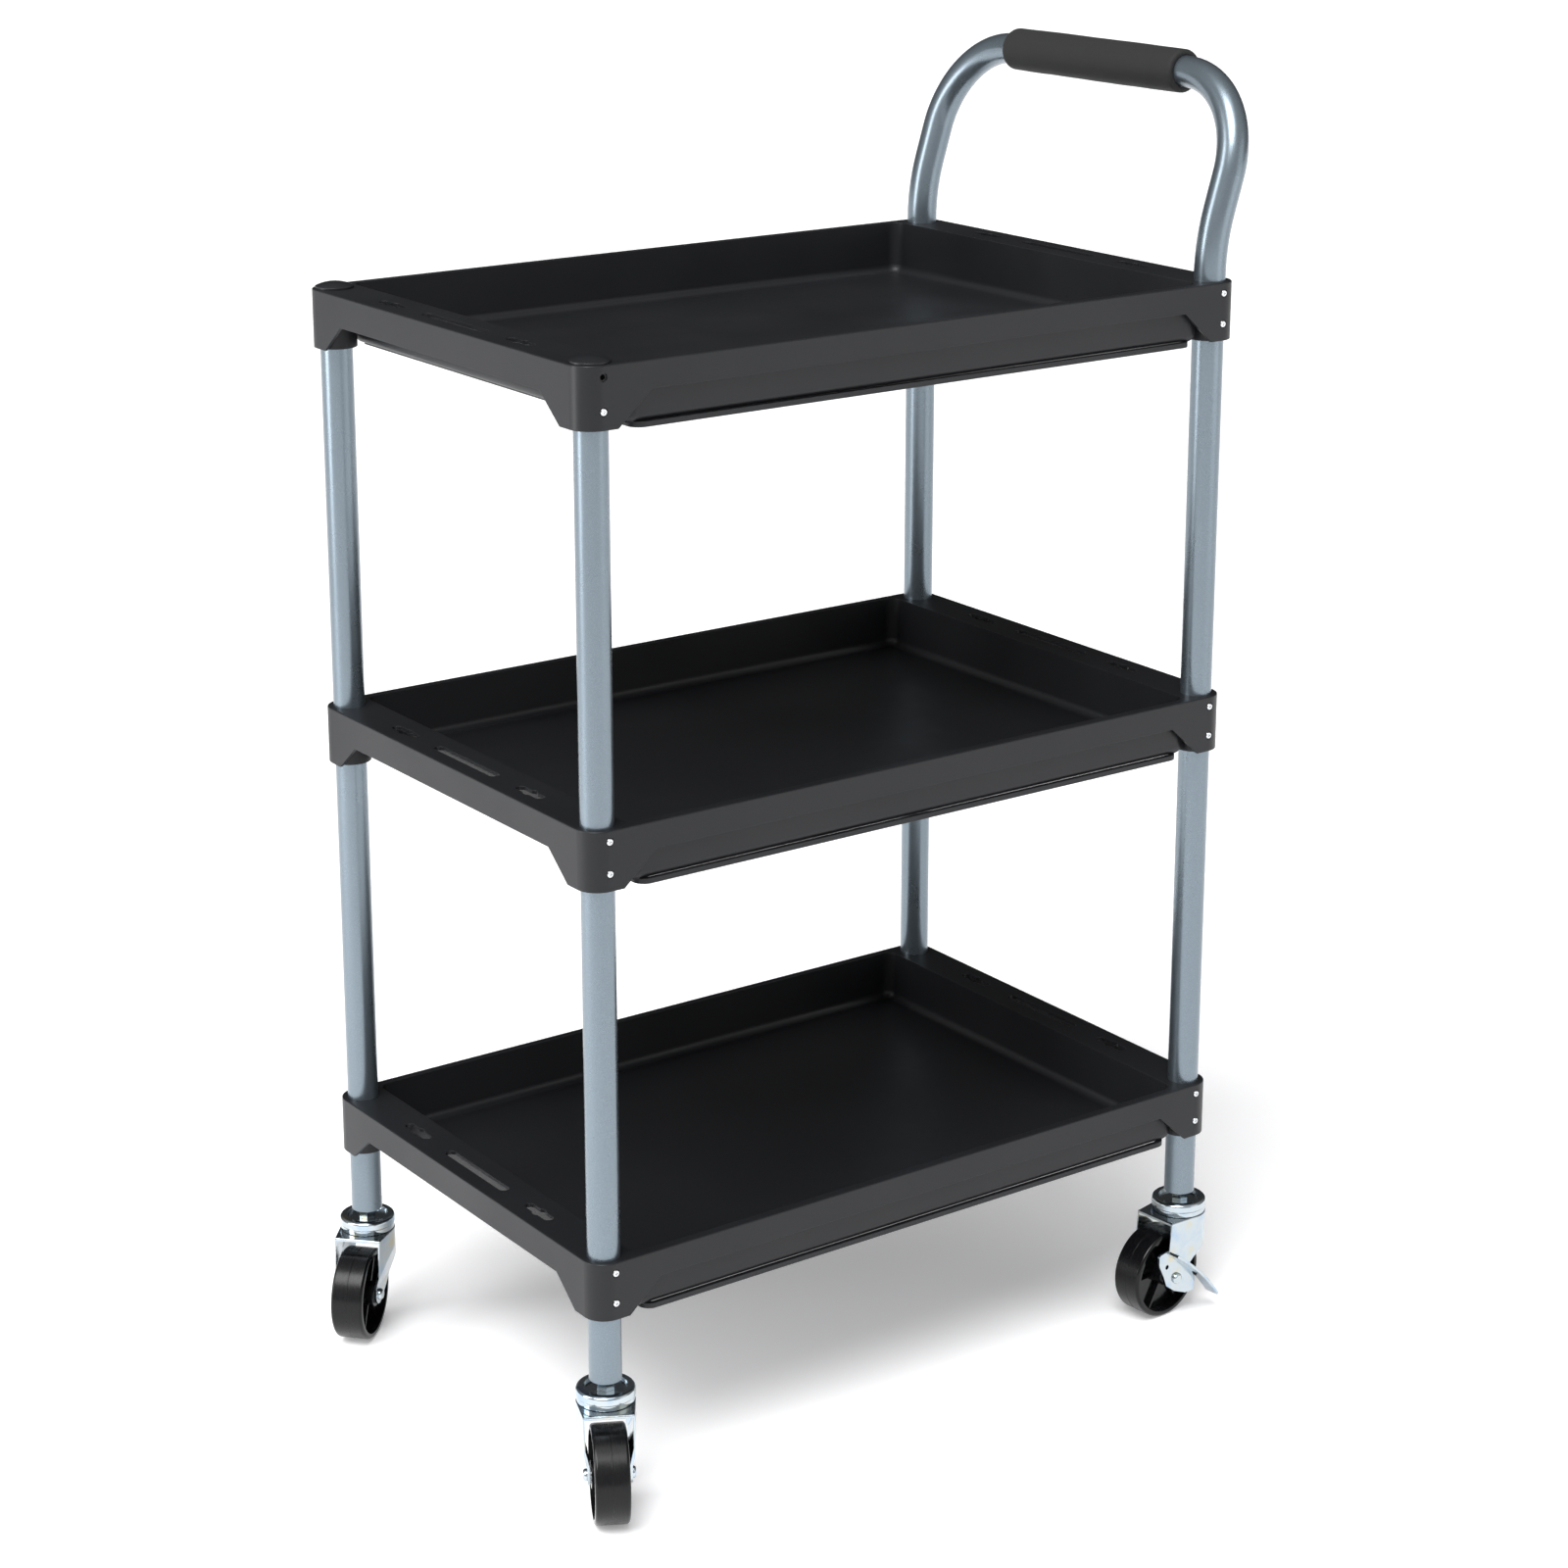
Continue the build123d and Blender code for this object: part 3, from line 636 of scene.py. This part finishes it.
@dataclass
class PushHandle:
    """The bent tube and its foam grip, which is modelled here."""

    paint: bpy.types.Material
    foam: bpy.types.Material
    end_round: float = 3.2 * MM
    end_steps: int = 8
    rings: int = 72
    segments: int = 96
    crown: float = 0.25 * MM        # fuller at the middle of its length
    unevenness: float = 0.22 * MM   # where hands have pressed the foam
    press_length: float = 26 * MM

    def build(self) -> Iterable[str]:
        """Dress the tube and put the foam sleeve in the CAD grip's place.

        Returns:
            The names of the pieces.
        """
        dress("handle_tube", self.paint)
        grip = solid("foam_grip", *self.sleeve(), self.foam)
        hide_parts("handle_grip")
        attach(grip, "frame")
        return "handle_tube", grip.name

    def sleeve(self) -> tuple[list[Vector], list[tuple[int, ...]]]:
        """Work out the foam sleeve's mesh from the CAD grip and tube.

        Returns:
            Its points and its faces.
        """
        low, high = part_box("handle_grip")
        centre = middle("handle_grip")
        half = (high[1] - low[1]) / 2
        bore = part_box("handle_tube")[1][0] - centre.x
        outer = (high[2] - low[2]) / 2 - self.crown - self.unevenness
        profile = [(-half, bore), *self.rounded_end(-1, half, outer)]
        for ring in range(1, self.rings):
            along = -half + self.end_round + 2 * (half - self.end_round) * ring / self.rings
            profile.append((along, outer + self.crown * (1 - (along / half) ** 2)))
        profile += [*self.rounded_end(1, half, outer), (half, bore)]
        profile += [(half * (1 - 2 * ring / self.rings), bore) for ring in range(1, self.rings)]
        return turned(centre, Vector((0, -1, 0)), profile, self.segments, self.pressed(bore))

    def rounded_end(self, side: int, half: float, outer: float) -> list[tuple[float, float]]:
        """Round the foam's outer edge at one end.

        Args:
            side: -1 for the profile's start, 1 for its end.
            half: Half the grip's length.
            outer: Radius at the ends.

        Returns:
            Profile points, in the profile's order.
        """
        points = []
        for step in range(self.end_steps + 1):
            angle = math.pi / 2 * step / self.end_steps
            points.append((side * (half - self.end_round * (1 - math.sin(angle))),
                           outer - self.end_round * (1 - math.cos(angle))))
        return points if side > 0 else points[::-1]

    def pressed(self, bore: float) -> Callable[[float, float], float]:
        """Give the slow unevenness of used foam.

        Args:
            bore: Radius of the tube side, which keeps its shape.

        Returns:
            A function of distance along and angle.
        """
        def extra(along: float, angle: float) -> float:
            """Extra radius at a place on the sleeve."""
            at = Vector((math.cos(angle) * bore, along, math.sin(angle) * bore))
            return self.unevenness * noise.noise(at / self.press_length)
        return extra


@dataclass
class Caster:
    """One swivel caster, with its stem thread and its wheel's parting line."""

    leg: Leg
    zinc: bpy.types.Material
    ball_steel: bpy.types.Material
    socket_plastic: bpy.types.Material
    wheel_finish: WheelPolypropylene = field(default_factory=WheelPolypropylene)
    stem_radius: float = 4 * MM
    thread_pitch: float = 1.25 * MM     # M8 coarse
    thread_rise: float = 0.45 * MM
    thread_flank: float = 0.45      # half the ridge's foot, in pitches
    run_out_turns: float = 1 / 6    # over which the ridge dies away at each end
    turn_steps: int = 40
    line_width: float = 0.7 * MM
    line_rise: float = 0.18 * MM

    def build(self) -> Iterable[str]:
        """Dress the caster's CAD nodes and model its two fine details.

        Returns:
            The names of the pieces.
        """
        leg = self.leg.value
        metal = [f"{leg}_{part}" for part in ("stem", "top_race", "fork", "axle", "axle_sleeve")]
        lever = f"{leg}_brake_lever"
        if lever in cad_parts:
            metal.append(lever)
        for part in metal:
            dress(part, self.zinc)
        dress(f"{leg}_balls", self.ball_steel)
        dress(f"{leg}_stem_socket", self.socket_plastic)
        finish = replace(self.wheel_finish, name=f"{self.wheel_finish.name}_{leg}",
                         axis=tuple(self.axle()))
        plastic = finish.material()
        dress(f"{leg}_wheel", plastic)
        details = [self.stem_thread(), self.parting_line(plastic)]
        return [*metal, f"{leg}_balls", f"{leg}_stem_socket", f"{leg}_wheel",
                *(piece.name for piece in details)]

    def axle(self) -> Vector:
        """Direction of the axle, square to the way the wheel trails."""
        trail = middle(f"{self.leg.value}_wheel") - middle(f"{self.leg.value}_stem")
        return Vector((-trail.y, trail.x, 0)).normalized()

    def stem_thread(self) -> bpy.types.Object:
        """Model the thread on the bare stretch of stem above its nut.

        Returns:
            The thread.
        """
        leg = self.leg.value
        centre = middle(f"{leg}_stem")
        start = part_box("stem_nuts")[1][2]
        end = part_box(f"{leg}_stub_post")[0][2]
        turns = (end - start) / self.thread_pitch - 1
        steps = int(turns * self.turn_steps)
        root = self.stem_radius - self.thread_rise / 2
        points, faces = [], []
        for step in range(steps + 1):
            angle = 2 * math.pi * step / self.turn_steps
            height = start + self.thread_pitch * (0.5 + step / self.turn_steps)
            out = Vector((math.cos(angle), math.sin(angle), 0))
            to_end = min(step, steps - step) / self.turn_steps
            run_out = min(1.0, to_end / self.run_out_turns)
            for drop, rise in ((-self.thread_flank, 0), (0, run_out), (self.thread_flank, 0)):
                place = centre + out * (root + self.thread_rise * rise)
                points.append(Vector((place.x, place.y, height + drop * self.thread_pitch)))
        for step in range(steps):
            here, there = 3 * step, 3 * step + 3
            for i in range(3):
                j = (i + 1) % 3
                faces.append((here + i, there + i, there + j, here + j))
        faces += [(0, 1, 2), (3 * steps + 2, 3 * steps + 1, 3 * steps)]
        thread = solid(f"{leg}_stem_thread", points, faces, self.zinc)
        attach(thread, "frame")
        return thread

    def parting_line(self, plastic: bpy.types.Material) -> bpy.types.Object:
        """Model the fine ridge that the mould leaves round the tread.

        Args:
            plastic: The wheel's own material.

        Returns:
            The ridge.
        """
        leg = self.leg.value
        low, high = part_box(f"{leg}_wheel")
        radius = (high[2] - low[2]) / 2
        half = self.line_width / 2
        profile = [(-half, radius - half), (-half, radius), (0, radius + self.line_rise),
                   (half, radius), (half, radius - half)]
        line = solid(f"{leg}_wheel_parting_line",
                     *turned(middle(f"{leg}_wheel"), self.axle(), profile, 4 * self.turn_steps),
                     plastic)
        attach(line, f"{leg}_rolling_wheel")
        return line


# --------------------------------------------------------------- studio ----
@dataclass
class Softbox:
    """One soft lamp, aimed at the middle of the cart."""

    name: str
    place: tuple[float, float, float]
    size: tuple[float, float]
    power: float

    def hang(self, target: Vector) -> None:
        """Put the lamp up.

        Args:
            target: The point it faces.
        """
        lamp = bpy.data.lights.new(self.name, "AREA")
        lamp.shape = "RECTANGLE"
        lamp.size, lamp.size_y = self.size
        lamp.energy = self.power
        rig = bpy.data.objects.new(self.name, lamp)
        rig.location = self.place
        rig.rotation_euler = (target - Vector(self.place)).to_track_quat("-Z", "Y").to_euler()
        rig.visible_camera = False
        bpy.context.scene.collection.objects.link(rig)


@dataclass
class Studio:
    """Pale paper floor, soft lamps, and the camera at its viewing angle."""

    floor_radius: float = 60.0
    floor_sides: int = 96
    lens_mm: float = 78.83
    shift: float = -0.094
    camera_at: tuple[float, float, float] = (-1.5489, -2.1786, 1.3460)
    yaw_degrees: float = 35.567
    pitch_degrees: float = 15.639
    sky: float = 0.7
    sky_behind: float = 0.03
    # Cosines from straight behind the cart, between which the tent dims
    dim_from: float = -0.4
    dim_to: float = 0.8
    sun_strength: float = 2.6
    sun_softness_degrees: float = 35.0
    sun_from: tuple[float, float, float] = (-0.55, -0.35, 1.0)
    softboxes: tuple[Softbox, ...] = (
        Softbox("left_softbox", (-2.1, 0.6, 1.3), (0.8, 2.2), 32.0),
        Softbox("right_softbox", (1.5, -2.3, 1.1), (1.6, 2.0), 6.0),
        Softbox("top_softbox", (-0.6, -0.8, 2.9), (2.0, 2.0), 18.0),
    )

    def build(self) -> None:
        """Lay the floor, hang the lamps and set the camera."""
        self.lay_floor()
        self.light()
        self.set_camera()

    def lay_floor(self) -> None:
        """Lay a round of paper under the wheels."""
        rim = [Vector((self.floor_radius * math.cos(a), self.floor_radius * math.sin(a), 0))
               for a in (2 * math.pi * i / self.floor_sides for i in range(self.floor_sides))]
        floor = solid("studio_floor", rim, [range(self.floor_sides)], PaperSweep().material())

    def forward(self) -> Vector:
        """Direction that the camera looks along."""
        yaw, pitch = math.radians(self.yaw_degrees), math.radians(self.pitch_degrees)
        return Vector((math.sin(yaw) * math.cos(pitch), math.cos(yaw) * math.cos(pitch),
                       -math.sin(pitch)))

    def light(self) -> None:
        """Light the cart as in a white tent that is dimmer behind it."""
        scene = bpy.context.scene
        scene.view_settings.view_transform = "Standard"
        world = bpy.data.worlds.new("studio_tent")
        world.use_nodes = True
        scene.world = world
        tree = world.node_tree
        tree.nodes.clear()
        direction = add(tree, "ShaderNodeTexCoord").outputs["Generated"]
        behind = add(tree, "ShaderNodeVectorMath",
                     {"operation": "DOT_PRODUCT", 1: tuple(self.forward())}, {0: direction})
        strength = add(tree, "ShaderNodeMapRange",
                       {"From Min": self.dim_from, "From Max": self.dim_to,
                        "To Min": self.sky, "To Max": self.sky_behind},
                       {"Value": behind.outputs["Value"]})
        tent = add(tree, "ShaderNodeBackground", links={"Strength": strength.outputs[0]})
        add(tree, "ShaderNodeOutputWorld", links={"Surface": tent.outputs[0]})
        sun = bpy.data.lights.new("overhead_bank", "SUN")
        sun.energy = self.sun_strength
        sun.angle = math.radians(self.sun_softness_degrees)
        rig = bpy.data.objects.new("overhead_bank", sun)
        rig.rotation_euler = (-Vector(self.sun_from)).to_track_quat("-Z", "Y").to_euler()
        scene.collection.objects.link(rig)
        target = (CAD_BOX[0] + CAD_BOX[1]) / 2
        for softbox in self.softboxes:
            softbox.hang(target)

    def set_camera(self) -> None:
        """Set the camera that the scene is seen through."""
        lens = bpy.data.cameras.new("studio_camera")
        lens.lens = self.lens_mm
        lens.sensor_width = 36.0
        lens.shift_y = self.shift
        camera = bpy.data.objects.new("studio_camera", lens)
        camera.location = self.camera_at
        camera.rotation_euler = self.forward().to_track_quat("-Z", "Y").to_euler()
        bpy.context.scene.collection.objects.link(camera)
        bpy.context.scene.camera = camera


def main() -> None:
    """Build the cart's assemblies in order, then the studio round them."""
    logging.basicConfig(level=logging.INFO, format="%(name)s: %(message)s")
    tray_plastic = MouldedPolypropylene().material()
    cap_plastic = MouldedPolypropylene(name="polypropylene_moulded_cap", roughness=0.36).material()
    socket_plastic = MouldedPolypropylene(name="nylon_moulded", roughness=0.32).material()
    paint = PowderCoatedSteel().material()
    zinc = BrightZincPlate().material()
    screw_steel = PolishedSteel().material()
    ball_steel = PolishedSteel(name="steel_ground", roughness=0.08).material()
    dress("stem_nuts", zinc)
    assemblies = [
        *(Tray(level, tray_plastic, screw_steel) for level in Level),
        Posts(paint, cap_plastic),
        PushHandle(paint, FoamRubber().material()),
        *(Caster(leg, zinc, ball_steel, socket_plastic) for leg in Leg),
    ]
    for assembly in assemblies:
        for piece in assembly.build():
            log.info("%s: %s", type(assembly).__name__, piece)
    Studio().build()


if __name__ == "__main__":
    main()
